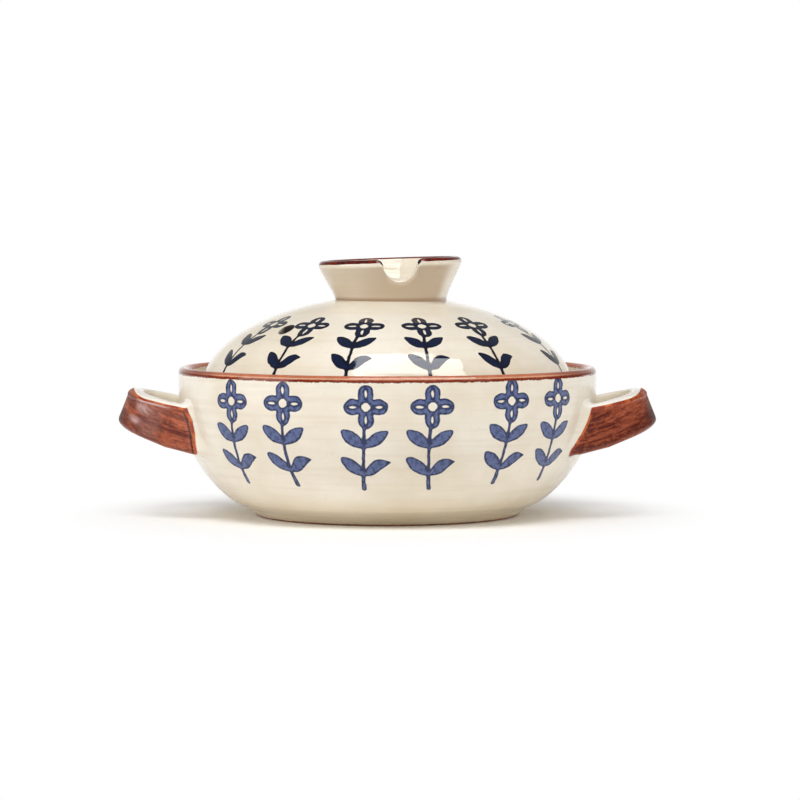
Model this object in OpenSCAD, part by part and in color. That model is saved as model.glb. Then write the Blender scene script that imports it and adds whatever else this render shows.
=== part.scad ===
// Lidded clay pot with two ear handles, a cup-shaped lid grip and a steam hole.
// Millimetres. +Z is up, the pot stands on z = 0 and its axis is the Z axis.
// The ear handles lie along X, and the notch of the lid grip faces -Y.

/* [Pot] */
// Outer diameter of the pot at its rim
rim_d = 215; // [185:1:300]
// Height of the pot from the table to the crown of its rim
pot_h = 76.5; // [72:0.5:110]
// Height of the upright side, down from the crown of the rim
side_drop = 13.5; // [8:0.5:18]
// How far the shoulder, where the belly starts, stands out from the foot ring
shoulder_out = 8; // [5:0.5:12]
// Height of the shoulder above the top of the foot ring
shoulder_rise = 4; // [3:0.5:7]
// Thickness of the side wall
wall = 5.5; // [4:0.1:8]
// Thickness of the floor
floor_t = 7; // [5:0.1:10]
// Height over which the floor curves up into the wall
floor_round = 4; // [3:0.5:8]
// Thickness of the rim above the lid ledge
rim_t = 5; // [4:0.1:7]

/* [Foot ring] */
// Outer diameter of the face that the pot stands on
foot_d = 133; // [115:1:145]
// How far the foot ring's side leans out on its way up to the pot
foot_flare = 5.5; // [3:0.5:8]
// Height of the foot ring
foot_h = 4; // [3:0.1:5.5]
// Width of the face that the pot stands on
foot_w = 8; // [6:0.5:14]
// Rounding of the foot ring's lower edges
foot_edge_r = 1; // [0.5:0.1:1.5]

/* [Lid seat] */
// Depth of the lid ledge below the crown of the rim
seat_drop = 14; // [11:0.5:17]
// Width of the lid ledge
seat_w = 12.5; // [11:0.5:16]
// Thickness of the ledge at its inner edge
seat_t = 3; // [2.5:0.1:5]
// Rounding of the ledge's inner edge
seat_edge_r = 1; // [0.5:0.1:1.2]

/* [Lid dome] */
// Gap all round between the lid's edge and the inside of the rim
lid_play = 6; // [2:0.1:7]
// Gap between the lid and its ledge
seat_gap = 0.3; // [0.1:0.05:0.6]
// Height of the dome above the lid's edge
lid_rise = 50; // [35:0.5:65]
// Thickness of the dome
lid_t = 6; // [4.5:0.1:7]
// Rounding of the lid's lower edge
lid_edge_r = 1.5; // [0.5:0.1:2]

/* [Lid grip] */
// Diameter of the grip's waist
waist_d = 57; // [48:0.5:66]
// How far the grip's lip stands out from its waist
lip_flare = 8.4; // [5:0.2:14]
// Height of the grip's lip above the crown of the dome
grip_rise = 19.2; // [16:0.1:26]
// Thickness of the grip's wall
grip_t = 5; // [4:0.1:6]
// How far the grip is set off the dome's middle, towards +X
grip_shift = 2; // [0:0.1:3]
// Lean of the grip, with its +X side up
grip_lean = 2; // [0:0.1:4]
// Diameter of the round notch in the grip's lip
notch_d = 17.5; // [12:0.5:20]
// Depth of the notch
notch_depth = 10.5; // [9.5:0.5:12]
// Radius of the flared corners at the mouth of the notch
notch_flare_r = 3.3; // [2:0.1:4]
// Angle of the notch from the front, towards +X
notch_turn = 9; // [-30:1:30]

/* [Steam hole] */
// Diameter of the steam hole
vent_d = 7; // [4:0.5:10]
// Distance of the steam hole from the lid's axis
vent_r = 70; // [60:0.5:76]
// Angle of the steam hole from the front, towards +X
vent_turn = -46; // [-90:1:90]

/* [Ear handles] */
// How far each handle stands out from the rim
handle_reach = 31; // [26:0.5:38]
// Distance between the two roots of one handle, along the wall
handle_spread = 76; // [68:1:84]
// Angle at which the strap runs inwards from its root
handle_flare = 22; // [16:1:28]
// Thickness of the strap
strap_t = 8; // [7:0.1:9]
// Height of the strap at its roots
root_h = 24.4; // [20:0.2:27]
// Height of the strap at its outermost point
tip_h = 17.8; // [16:0.2:22]
// Depth of the strap's top edge below the rim, at the roots
root_drop = 18.3; // [14:0.1:20]
// How much higher the strap's top edge is at its outermost point
tip_lift = 7; // [3:0.1:9]
// Angle by which the strap leans out towards its lower edge, at its roots
root_lean = 6; // [0:1:12]
// The same lean at its outermost point
tip_lean = 20; // [8:1:22]
// Rounding of the strap's edges, apart from the upper outer one
strap_edge_r = 3.2; // [2:0.1:3.4]
// Rounding of the strap's upper outer edge
strap_rim_r = 2.2; // [0.8:0.1:2.6]
// Radius of the fillet where the strap grows out of the wall
root_fillet = 3.5; // [2:0.5:5]
// Depth of the sunken panel that holds the brown glaze
panel_depth = 0.8; // [0.3:0.1:1.2]
// Width of the sloping border of that panel
panel_border = 1.2; // [0.6:0.1:2]

/* [Hidden] */
$fn = 96;

cream_glaze = "#ede5d6";
brown_glaze = "#84381f";
bare_clay = "#b9774a";

// Steps of the long curves, the dome, the small roundings, the notch's valley and the
// handle's sweep
curve_steps = 24;
dome_steps = 36;
round_steps = 5;
valley_steps = 14;
sweep_steps = 12;
// Rounds in which a point of the handle's root is brought to its distance from the wall
root_rounds = 4;
quarter_turn = 90;

// Overrun of every cut past the surface that it opens
cut = 1;

// Pulls of the belly curve, as shares of its run and of its rise
belly_low_share = [0.40, 0.142];
belly_high_share = [0.982, 0.455];
// Pulls of the grip's flare, as shares of its run and of its rise
flare_low_share = [0.14, 0.29];
flare_high_share = [0.53, 0.51];
// Pulls of the handle's sweep, as shares of its run and of its half width
sweep_root_share = 0.4;
sweep_tip_share = 0.62;
// Share of the strap's way to its tip over which it levels off
level_share = 0.16;

rim_r = rim_d / 2;
foot_top_r = foot_d / 2 + foot_flare;
floor_z = foot_h + floor_t;
seat_z = pot_h - seat_drop;
ledge_r = rim_r - rim_t - seat_w;
ledge_under_z = seat_z - seat_t;

lid_r = rim_r - rim_t - lid_play;
lid_z = seat_z + seat_gap;
crown_z = lid_z + lid_rise;
inner_lid_r = lid_r - lid_t;

waist_r = waist_d / 2;
lip_r = waist_r + lip_flare;

// Straight line, quadratic bend and cubic curve through their control points
function mix(a, b, t) = a + (b - a) * t;
function bend_point(a, b, c, t) = mix(mix(a, b, t), mix(b, c, t), t);
function bend(a, b, c) = [for (i = [0:round_steps]) bend_point(a, b, c, i / round_steps)];
function cubic_point(p, t) = mix(bend_point(p[0], p[1], p[2], t), bend_point(p[1], p[2], p[3], t), t);
function cubic(p) = [for (i = [0:curve_steps]) cubic_point(p, i / curve_steps)];
function cubic_slope(p, t) =
    let (d = bend_point(p[1] - p[0], p[2] - p[1], p[3] - p[2], t)) d / norm(d);
function left_of(d) = [-d.y, d.x];
function unit(v) = v / norm(v);
function reversed(list) = [for (i = [len(list) - 1:-1:0]) list[i]];

// The same cubic, moved to its left by a wall thickness
function cubic_offset(p, d) =
    [for (i = [0:curve_steps]) let (t = i / curve_steps) cubic_point(p, t) + d * left_of(cubic_slope(p, t))];

// A rounded corner at b, on the way from a to c
function corner(a, b, c, r) = bend(b + r * unit(a - b), b, b + r * unit(c - b));

function arc(centre, r, from, to, steps = round_steps) =
    [for (i = [0:steps]) let (a = mix(from, to, i / steps)) centre + r * [cos(a), sin(a)]];

// Pot: a belly that leaves the shoulder at a slant and ends upright
shoulder = [foot_top_r + shoulder_out, foot_h + shoulder_rise];
side = [rim_r, pot_h - side_drop];
belly_span = side - shoulder;
belly = [
    shoulder,
    shoulder + [belly_span.x * belly_low_share.x, belly_span.y * belly_low_share.y],
    shoulder + [belly_span.x * belly_high_share.x, belly_span.y * belly_high_share.y],
    side
];

// Inside of the wall, between the floor's curve and the underside of the ledge
inner_wall = [for (q = cubic_offset(belly, wall))
    if (q.y > floor_z + floor_round && q.y < ledge_under_z - seat_w + seat_edge_r) q];
wall_dive = unit(inner_wall[0] - inner_wall[1]);
floor_corner = inner_wall[0] - wall_dive * (inner_wall[0].y - floor_z) / wall_dive.y;
floor_edge = floor_corner - [norm(floor_corner - inner_wall[0]), 0];

pot_side = concat([[foot_top_r, foot_h]], cubic(belly));
rim_lip = arc([rim_r - rim_t / 2, pot_h - rim_t / 2], rim_t / 2, 0, 2 * quarter_turn);
ledge = concat(
    corner(rim_lip[round_steps], [rim_r - rim_t, seat_z], [ledge_r, seat_z], seat_edge_r),
    corner([rim_r, seat_z], [ledge_r, seat_z], [ledge_r, ledge_under_z], seat_edge_r),
    corner([ledge_r, seat_z], [ledge_r, ledge_under_z], inner_wall[len(inner_wall) - 1], seat_edge_r)
);
pot_inside = concat(reversed(inner_wall), bend(inner_wall[0], floor_corner, floor_edge));

// Outer radius of the pot at a height
function pot_radius(z) = lookup(z, [for (q = pot_side) [q.y, q.x]]);

module pot_bowl() {
    color(cream_glaze)
        rotate_extrude()
            polygon(concat(
                [[0, foot_h]], pot_side, rim_lip, ledge, pot_inside, [[0, floor_z]]
            ));
}

// The pot without its hollow, which trims the roots of the handles
module pot_envelope() {
    rotate_extrude()
        polygon(concat([[0, foot_h]], pot_side, [[rim_r, pot_h], [0, pot_h]]));
}

// Foot: a turned ring under the pot, left bare of glaze
module foot_ring() {
    outer_low = [foot_d / 2, 0];
    inner_low = [foot_d / 2 - foot_w, 0];
    outer_top = [foot_top_r, foot_h];
    inner_top = inner_low - [foot_edge_r, -foot_h];
    color(bare_clay)
        rotate_extrude()
            polygon(concat(
                [inner_top],
                corner(inner_top, inner_low, outer_low, foot_edge_r),
                corner(inner_low, outer_low, outer_top, foot_edge_r),
                [outer_top]
            ));
}

// Handle: a strap that grows straight out of the wall, sweeps round and comes back
handle_root = [sqrt(rim_r * rim_r - handle_spread * handle_spread / 4), handle_spread / 2];
root_way = [cos(handle_flare), -sin(handle_flare)];
tip_x = rim_r + handle_reach - strap_t / 2 + strap_edge_r
    - tan(tip_lean) * (tip_h / 2 - strap_edge_r) - strap_edge_r / cos(tip_lean);
root_top_z = pot_h - root_drop;
tip_top_z = root_top_z + tip_lift;
half_way = norm([tip_x, 0] - handle_root);

// Share of the climb that is done at a share of the way, level again at the tip
function climb(t) =
    let (late = max(0, t - 1 + level_share))
    (max(0, t) - late * late / (2 * level_share)) / (1 - level_share / 2);

// Section of the strap: each point has a place, a direction of growth and a panel sink.
// The place is [out from the strap's middle, up from its lower edge].
function edge_arc(centre, r, from) =
    [for (i = [0:round_steps])
        let (a = from + quarter_turn * i / round_steps, d = [cos(a), sin(a)])
        [centre + r * d, d, 0]];
function strap_section(h) =
    let (out = strap_t / 2, low = strap_edge_r, high = strap_rim_r)
    concat(
        [[[out, low + panel_border], [1, 0], panel_depth]],
        [[[out, h - high - panel_border], [1, 0], panel_depth]],
        edge_arc([out - high, h - high], high, 0),
        edge_arc([low - out, h - low], low, quarter_turn),
        edge_arc([low - out, low], low, 2 * quarter_turn),
        edge_arc([out - low, low], low, 3 * quarter_turn)
    );
strand_count = len(strap_section(root_h));

// One section point at the share t of the way: [leaned place out from the middle, z]
function strand(j, t, sink) =
    let (
        h = mix(root_h, tip_h, climb(t)),
        q = strap_section(h)[j],
        place = q[0] - [sink * q[2], 0],
        lean = tan(mix(root_lean, tip_lean, climb(t)))
    )
    [place.x + lean * (h / 2 - place.y), mix(root_top_z, tip_top_z, climb(t)) - h + place.y];
function in_space(centre, out_way, s) =
    let (flat = centre + out_way * s.x) [flat.x, flat.y, s.y];

// Where a strand of the straight root lies at the distance d from the wall
function wall_way(j, d, sink, rounds) =
    rounds < 1 ? 0 :
    let (
        s = strand(j, wall_way(j, d, sink, rounds - 1) / half_way, sink),
        base = handle_root + left_of(root_way) * s.x,
        reach = pot_radius(s.y) + d,
        along = base * root_way
    )
    sqrt(along * along - base * base + reach * reach) - along;

// Direction in which a strand spreads over the wall, for the fillet at the root
function spread_way(j, place) =
    let (
        grow = strap_section(root_h)[j][1],
        flat_grow = left_of(root_way) * grow.x,
        steep = (pot_radius(place.z + cut) - pot_radius(place.z - cut)) / (2 * cut),
        out = unit([place.x, place.y, -steep * norm([place.x, place.y])]),
        way = [flat_grow.x, flat_grow.y, grow.y]
    )
    unit(way - out * (way * out));

// Ring of the root that follows the wall at the distance d, widened by the fillet
function root_ring(d, widen, sink) =
    [for (j = [0:strand_count - 1])
        let (
            way = wall_way(j, d, sink, root_rounds),
            place = in_space(handle_root + root_way * way, left_of(root_way), strand(j, way / half_way, sink))
        )
        place + widen * spread_way(j, place)];
root_rings = concat(
    [root_ring(-cut, root_fillet, 0)],
    [for (i = [0:round_steps])
        let (a = quarter_turn * i / round_steps)
        root_ring(root_fillet * (1 - cos(a)), root_fillet * (1 - sin(a)), 0)],
    [root_ring(root_fillet + panel_border, 0, 1)]
);

// The sweep starts once the whole section is clear of the root
sweep_way = panel_border + max([for (j = [0:strand_count - 1])
    wall_way(j, root_fillet + panel_border, 1, root_rounds)]);
sweep_start = handle_root + root_way * sweep_way;
sweep = [
    sweep_start,
    sweep_start + root_way * (tip_x - sweep_start.x) * sweep_root_share,
    [tip_x, sweep_start.y * sweep_tip_share],
    [tip_x, 0]
];
sweep_rings = [for (i = [0:sweep_steps])
    let (u = i / sweep_steps, t = mix(sweep_way / half_way, 1, u))
    [for (j = [0:strand_count - 1])
        in_space(cubic_point(sweep, u), left_of(cubic_slope(sweep, u)), strand(j, t, 1))]];

module strap() {
    half = concat(root_rings, sweep_rings);
    other_half = [for (i = [len(half) - 2:-1:0]) [for (q = half[i]) [q.x, -q.y, q.z]]];
    rings = concat(half, other_half);
    last = len(rings) - 1;
    sides = [for (i = [0:last - 1], j = [0:strand_count - 1])
        let (a = i * strand_count + j, b = i * strand_count + (j + 1) % strand_count)
        each [[a, a + strand_count, b], [b, a + strand_count, b + strand_count]]];
    ends = [
        [for (j = [0:strand_count - 1]) j],
        [for (j = [strand_count - 1:-1:0]) last * strand_count + j]
    ];
    polyhedron([for (r = rings) each r], concat(sides, ends));
}

module ear_handle() {
    color(brown_glaze)
        difference() {
            strap();
            pot_envelope();
        }
}

module right_handle() {
    ear_handle();
}

module left_handle() {
    mirror([1, 0, 0])
        ear_handle();
}

// Lid: an elliptical dome
function dome_point(a, r, rise) = [r * cos(a), lid_z + rise * sin(a)];
function dome_arc(from, to, r, rise) =
    [for (i = [0:dome_steps]) dome_point(mix(from, to, i / dome_steps), r, rise)];
edge_angle = asin(lid_edge_r / lid_rise);
dome_top = dome_arc(quarter_turn, edge_angle, lid_r, lid_rise);

module lid_dome() {
    dome_inside = dome_arc(edge_angle, quarter_turn, inner_lid_r, lid_rise - lid_t);
    color(cream_glaze)
        difference() {
            rotate_extrude()
                polygon(concat(
                    dome_top,
                    bend(dome_top[dome_steps], [lid_r, lid_z], [lid_r - lid_edge_r, lid_z]),
                    bend([inner_lid_r + lid_edge_r, lid_z], [inner_lid_r, lid_z], dome_inside[0]),
                    dome_inside
                ));
            rotate([0, 0, vent_turn])
                translate([0, -vent_r, lid_z])
                    cylinder(d = vent_d, h = lid_rise + cut);
        }
}

// The dome without its hollow, which trims the foot of the grip
module dome_envelope() {
    rotate_extrude()
        polygon(concat(dome_top, [[lid_r, lid_z], [0, lid_z]]));
}

// Grip: a flared ring on the crown of the dome, hollow as a cup, with a notch.
// It also serves as the foot of the lid when the lid lies upside down.
flare_end_slope = unit([1 - flare_high_share.x, 1 - flare_high_share.y]);
module grip_ring() {
    start = [waist_r, dome_point(acos(waist_r / lid_r), lid_r, lid_rise).y - crown_z];
    rough_span = [lip_flare, grip_rise - grip_t / 2 - start.y];
    end_slope = unit([
        rough_span.x * flare_end_slope.x, rough_span.y * flare_end_slope.y
    ]);
    end = [
        lip_r - grip_t / 2 * (1 - end_slope.y),
        grip_rise - grip_t / 2 * (1 + end_slope.x)
    ];
    span = end - start;
    flare = [
        start,
        start + [span.x * flare_low_share.x, span.y * flare_low_share.y],
        start + [span.x * flare_high_share.x, span.y * flare_high_share.y],
        end
    ];
    inner = reversed(cubic_offset(flare, grip_t));
    inner_start = inner[len(inner) - 1];
    lip_centre = (end + inner[0]) / 2;
    lip_from = atan2(end.y - lip_centre.y, end.x - lip_centre.x);
    foot_y = start.y - lid_t;
    difference() {
        rotate_extrude()
            polygon(concat(
                [[waist_r, foot_y]],
                cubic(flare),
                arc(lip_centre, grip_t / 2, lip_from, lip_from + 2 * quarter_turn),
                inner,
                [[inner_start.x, foot_y]]
            ));
        rotate([0, 0, notch_turn])
            rotate([quarter_turn, 0, 0])
                linear_extrude(lip_r + cut)
                    translate([0, grip_rise])
                        notch_outline();
    }
}

module lid_grip() {
    color(cream_glaze)
        difference() {
            translate([grip_shift, 0, crown_z])
                rotate([0, -grip_lean, 0])
                    grip_ring();
            dome_envelope();
        }
}

// Outline of the notch from its mouth down: a round valley whose sides flare out
// into rounded corners
module notch_outline() {
    valley_r = notch_d / 2;
    valley_y = valley_r - notch_depth;
    flare_y = -notch_flare_r;
    reach = valley_r + notch_flare_r;
    flare_x = sqrt(reach * reach - (valley_y - flare_y) * (valley_y - flare_y));
    tilt = atan2(valley_y - flare_y, flare_x);
    right_flare = arc([flare_x, flare_y], notch_flare_r, quarter_turn, 2 * quarter_turn - tilt);
    left_flare = [for (q = reversed(right_flare)) [-q.x, q.y]];
    polygon(concat(
        [[flare_x, cut]],
        right_flare,
        arc([0, valley_y], valley_r, -tilt, tilt - 2 * quarter_turn, valley_steps),
        left_flare,
        [[-flare_x, cut]]
    ));
}

pot_bowl();
foot_ring();
left_handle();
right_handle();
lid_dome();
lid_grip();
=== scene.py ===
import math
import bpy
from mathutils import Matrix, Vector


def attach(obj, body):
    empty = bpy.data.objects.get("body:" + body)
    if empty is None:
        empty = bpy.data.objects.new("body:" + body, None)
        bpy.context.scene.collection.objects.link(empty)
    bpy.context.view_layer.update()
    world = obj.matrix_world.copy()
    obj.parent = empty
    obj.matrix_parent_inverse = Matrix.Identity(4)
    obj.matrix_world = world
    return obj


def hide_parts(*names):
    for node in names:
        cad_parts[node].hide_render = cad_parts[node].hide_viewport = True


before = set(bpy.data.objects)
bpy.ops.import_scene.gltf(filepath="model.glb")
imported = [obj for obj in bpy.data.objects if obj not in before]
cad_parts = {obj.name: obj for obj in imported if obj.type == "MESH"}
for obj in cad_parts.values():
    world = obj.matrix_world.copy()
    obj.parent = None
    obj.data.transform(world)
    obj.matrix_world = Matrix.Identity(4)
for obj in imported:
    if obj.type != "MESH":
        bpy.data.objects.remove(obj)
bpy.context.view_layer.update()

# Camera
# The pot is seen from the front and a little from above, through a long lens that stands far
# off, so that the far side of the rim is hardly smaller than the near side.
look_down = 0.057
camera = bpy.data.objects.new("camera", bpy.data.cameras.new("camera"))
camera.location = (0.0065, -1.7, 0.156)
camera.rotation_euler = (math.pi / 2 - look_down, 0, 0)
camera.data.sensor_width = 36
camera.data.lens = 148.5
bpy.context.scene.collection.objects.link(camera)
bpy.context.scene.camera = camera
bpy.context.scene.view_settings.view_transform = "Standard"


# Studio
# A white table before a white backdrop. A wide soft lamp hangs high in front, and two weaker
# ones stand aside. A lit sheet overhead only leaves its bright patch on the front of the dome.
class Tone:
    """A value or a colour inside a finish. Signs between tones, or with numbers, add Math nodes."""

    def __init__(self, tree, socket=None):
        self.tree = tree
        self.socket = socket

    def node(self, kind, settings=None, feeds=None, out=0):
        """A new node of that kind. Its settings come first, then what feeds its sockets."""
        made = self.tree.nodes.new("ShaderNode" + kind)
        for name, value in (settings or {}).items():
            setattr(made, name, value)
        for name, value in (feeds or {}).items():
            socket = find_socket(made.inputs, name)
            if isinstance(value, Tone):
                self.tree.links.new(value.socket, socket)
            else:
                socket.default_value = value
        return Tone(self.tree, find_socket(made.outputs, out)) if made.outputs else None

    def beside(self, name):
        """Another output of the node that this tone comes from."""
        return Tone(self.tree, find_socket(self.socket.node.outputs, name))

    def math(self, operation, *terms):
        return self.node("Math", {"operation": operation}, dict(enumerate(terms)))

    def __add__(self, other):
        return self.math("ADD", self, other)

    def __radd__(self, other):
        return self.math("ADD", other, self)

    def __sub__(self, other):
        return self.math("SUBTRACT", self, other)

    def __rsub__(self, other):
        return self.math("SUBTRACT", other, self)

    def __mul__(self, other):
        return self.math("MULTIPLY", self, other)

    def __rmul__(self, other):
        return self.math("MULTIPLY", other, self)

    def __truediv__(self, other):
        return self.math("DIVIDE", self, other)

    def __rtruediv__(self, other):
        return self.math("DIVIDE", other, self)

    def __neg__(self):
        return self.math("MULTIPLY", self, -1.0)

    def __abs__(self):
        return self.math("ABSOLUTE", self)

    def least(self, *others):
        smallest = self
        for other in others:
            smallest = self.math("MINIMUM", smallest, other)
        return smallest

    def most(self, *others):
        largest = self
        for other in others:
            largest = self.math("MAXIMUM", largest, other)
        return largest

    def melt(self, other, reach):
        """The smaller of two distances, with a fillet where they meet."""
        return self.math("SMOOTH_MIN", self, other, reach)

    def ease(self, none, full):
        """0 at the first value and 1 at the second, with soft ends."""
        return self.node(
            "MapRange", {"interpolation_type": "SMOOTHSTEP"},
            {"Value": self, "From Min": none, "From Max": full},
        )

    def blend(self, one, other):
        """The first colour where this tone is 0, and the second where it is 1."""
        return self.node(
            "Mix", {"data_type": "RGBA"},
            {"Factor_Float": self, "A_Color": one, "B_Color": other}, out="Result_Color",
        )

    def length(self, across, up):
        """How far a place is from where across and up are both 0."""
        flat = self.node("CombineXYZ", {}, {"X": across, "Y": up})
        return self.node("VectorMath", {"operation": "LENGTH"}, {0: flat}, out="Value")


def find_socket(sockets, name):
    """The socket with that number, identifier or name."""
    if isinstance(name, int):
        return sockets[name]
    for socket in sockets:
        if socket.identifier == name:
            return socket
    return sockets[name]


def paint(red, green, blue):
    """A colour given from 0 to 255, in the linear light that shaders use."""
    linear = [((c / 255 + 0.055) / 1.055) ** 2.4 if c > 10 else c / 3295 for c in (red, green, blue)]
    return (*linear, 1.0)


def new_finish(name):
    """A new material and a first tone to add its nodes with."""
    material = bpy.data.materials.new(name)
    material.use_nodes = True
    material.node_tree.nodes.clear()
    return material, Tone(material.node_tree)


room = bpy.data.worlds.new("white_room")
room.use_nodes = True
room.node_tree.nodes.clear()
air = Tone(room.node_tree)
room_way = air.node("TexCoord", out="Generated")
way_up = air.node("SeparateXYZ", {}, {"Vector": room_way}, out="Z")
way_aside = abs(way_up.beside("X"))
way_back = way_up.beside("Y")
seen = air.node("LightPath", out="Is Camera Ray")
mirrored = seen.beside("Is Glossy Ray").most(seen.beside("Is Transmission Ray"))
ceiling = way_up.ease(0.25, 0.75)
# Dark boards on both sides, which only the gloss of the glaze shows
side_boards = mirrored * way_aside.ease(0.35, 0.75) * way_up.ease(0.75, 0.45)
wall_light = (0.53 - ceiling * 0.31) * (1 - side_boards * 0.72)
backdrop = way_back.ease(0.86, 0.99) * way_up.ease(0.42, 0.10)
light_of_room = air.node("Background", {}, {"Color": (1.0, 0.985, 0.965, 1), "Strength": wall_light})
white_wall = air.node("Background", {}, {"Color": (1, 1, 1, 1), "Strength": 1.0})
seen_white = seen.most(mirrored * backdrop)
room_mix = air.node("MixShader", {}, {0: seen_white, 1: light_of_room, 2: white_wall})
air.node("OutputWorld", {}, {"Surface": room_mix})
bpy.context.scene.world = room


def hang_lamp(name, place, aim, size, power, colour, in_gloss=True):
    """A soft box lamp at a place, turned to its aim. The gloss of the glaze may leave it out."""
    lamp = bpy.data.objects.new(name, bpy.data.lights.new(name, "AREA"))
    lamp.data.shape = "RECTANGLE"
    lamp.data.size = size[0]
    lamp.data.size_y = size[1]
    lamp.data.energy = power
    lamp.data.color = colour
    lamp.visible_glossy = in_gloss
    lamp.location = place
    lamp.rotation_euler = (Vector(aim) - Vector(place)).to_track_quat("-Z", "Y").to_euler()
    bpy.context.scene.collection.objects.link(lamp)


warm_white = (1.0, 0.98, 0.95)
day_white = (1.0, 0.99, 0.98)
pot_middle = (0, 0, 0.06)
pot_low = (0, 0, 0.05)
side_size = (0.9, 1.0)
hang_lamp("high_lamp", (-0.12, -0.78, 1.45), pot_low, (1.1, 0.7), 15.5, warm_white, in_gloss=False)
hang_lamp("left_lamp", (-1.3, -0.5, 0.5), pot_middle, side_size, 6.0, day_white)
hang_lamp("right_lamp", (1.3, -0.4, 0.5), pot_middle, side_size, 4.6, day_white, in_gloss=False)


def lay_sheet(name, corners, material):
    """A flat sheet of the studio between its four corners."""
    mesh = bpy.data.meshes.new(name)
    mesh.from_pydata(corners, [], [(0, 1, 2, 3)])
    mesh.materials.append(material)
    sheet = bpy.data.objects.new(name, mesh)
    bpy.context.scene.collection.objects.link(sheet)
    return sheet


lit_sheet, sheet_tone = new_finish("lit_sheet")
glow = sheet_tone.node("Emission", {}, {"Color": (0.97, 0.98, 1.0, 1), "Strength": 6.8})
sheet_tone.node("OutputMaterial", {}, {"Surface": glow})
sheet_z = 1.1
sheet_front_y = -0.76
sheet_back_y = -0.06
overhead_sheet = lay_sheet("overhead_sheet", [
    (-0.19, sheet_back_y, sheet_z), (0.58, sheet_back_y, sheet_z),
    (1.06, sheet_front_y, sheet_z), (-0.38, sheet_front_y, sheet_z),
], lit_sheet)
overhead_sheet.visible_camera = False
overhead_sheet.visible_diffuse = False
overhead_sheet.visible_shadow = False

white_top, top_tone = new_finish("white_top")
spot = top_tone.node("TexCoord", out="Object")
distance = top_tone.node("VectorMath", {"operation": "LENGTH"}, {0: spot}, out="Value")
top_colour = distance.ease(0.22, 0.50).blend((0.97, 0.962, 0.95, 1), (0.80, 0.80, 0.79, 1))
lit_top = top_tone.node("BsdfDiffuse", {}, {"Color": top_colour})
bright_top = top_tone.node("Emission", {}, {"Color": (1, 1, 1, 1), "Strength": 1.0})
# Away from the pot the table shows as plain white, and near it with the shadow that lies on it
seen = top_tone.node("LightPath", out="Is Camera Ray")
seen = seen.most(seen.beside("Is Glossy Ray"), seen.beside("Is Transmission Ray"))
seen_white = seen * distance.ease(0.075, 0.175)
top_mix = top_tone.node("MixShader", {}, {0: seen_white, 1: lit_top, 2: bright_top})
top_tone.node("OutputMaterial", {}, {"Surface": top_mix})
table_top = lay_sheet("table_top", [(-3, -3, 0), (3, -3, 0), (3, 3, 0), (-3, 3, 0)], white_top)


# Bowl
# A bowl thrown in pale clay, dipped in a glossy cream glaze and wiped with iron glaze along
# its rim. A row of blue sprigs, four petals over two pairs of leaves, is brushed on the wall.
mm = 0.001
on_axis = 0.001


def curve(*pulls, steps):
    """Points of a curve from the first to the last of its pulls."""
    way = []
    for i in range(steps + 1):
        row = list(pulls)
        while len(row) > 1:
            row = [a.lerp(b, i / steps) for a, b in zip(row, row[1:])]
        way.append(row[0])
    return way


def rounded(before, corner, after, radius):
    """The corner softened, on the way from the point before it to the one after it."""
    start = corner + (before - corner).normalized() * radius
    end = corner + (after - corner).normalized() * radius
    return curve(start, corner, end, steps=6)


def thickened(way, thickness):
    """The same line moved to its left by a wall's thickness."""
    moved = []
    for i, point in enumerate(way):
        step = (way[min(i + 1, len(way) - 1)] - way[max(i - 1, 0)]).normalized()
        moved.append(point + Vector((-step.y, step.x)) * thickness)
    return moved


def evened(outline, longest):
    """The outline with points added, so that no step is longer than that."""
    points = [outline[0]]
    for point in outline[1:]:
        count = max(1, math.ceil((point - points[-1]).length / longest))
        last = points[-1]
        points += [last.lerp(point, (k + 1) / count) for k in range(count)]
    return points


def without_repeats(corners):
    """The corners of a face, each once, so that a face at the axis is a triangle."""
    return [c for i, c in enumerate(corners) if c not in corners[:i]]


def throw(outline, around=192):
    """Points and faces of an outline turned round the axis. Its points run anticlockwise."""
    points = []
    rings = []
    for point in outline:
        if point.x < on_axis:
            rings.append([len(points)] * around)
            points.append((0, 0, point.y))
            continue
        rings.append(list(range(len(points), len(points) + around)))
        for k in range(around):
            turn = 2 * math.pi * k / around
            points.append((point.x * math.cos(turn), point.x * math.sin(turn), point.y))
    faces = []
    for low, high in zip(rings, rings[1:]):
        for k in range(around):
            n = (k + 1) % around
            faces.append(without_repeats([low[k], low[n], high[n], high[k]]))
    return points, faces


def make_piece(name, points, faces, materials, body, slot, *nodes):
    """A smooth mesh, given in millimetres, that stands for its CAD nodes and rides on a body."""
    mesh = bpy.data.meshes.new(name)
    mesh.from_pydata([tuple(c * mm for c in p) for p in points], [], faces)
    mesh.validate()
    mesh.shade_smooth()
    for material in materials:
        mesh.materials.append(material)
    piece = bpy.data.objects.new(name, mesh)
    bpy.context.scene.collection.objects.link(piece)
    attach(piece, body)
    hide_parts(*nodes)
    return piece


# The glaze lies a hair inside the solid's rim, so that the dressed pot keeps within its box
pot_r = 107.5
rim_r = pot_r - 0.02
pot_h = 76.5
rim_t = 5.0
wall_t = 5.5
ledge_r = 90.0
ledge_z = 62.5
ledge_t = 3.0
floor_z = 11.0
floor_bend_z = 15.0
ledge_bend_z = 48.5
foot_h = 4.0
foot_top = Vector((72.0, foot_h))
shoulder = Vector((80.0, 8.0))
side = Vector((rim_r, 63.0))
belly_run = side - shoulder
belly = curve(
    shoulder,
    shoulder + Vector((belly_run.x * 0.40, belly_run.y * 0.142)),
    shoulder + Vector((belly_run.x * 0.982, belly_run.y * 0.455)),
    side,
    steps=48,
)
rim_lip = [
    Vector((rim_r - rim_t / 2 + rim_t / 2 * math.cos(a), pot_h - rim_t / 2 + rim_t / 2 * math.sin(a)))
    for a in [math.pi * k / 16 for k in range(17)]
]
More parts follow.
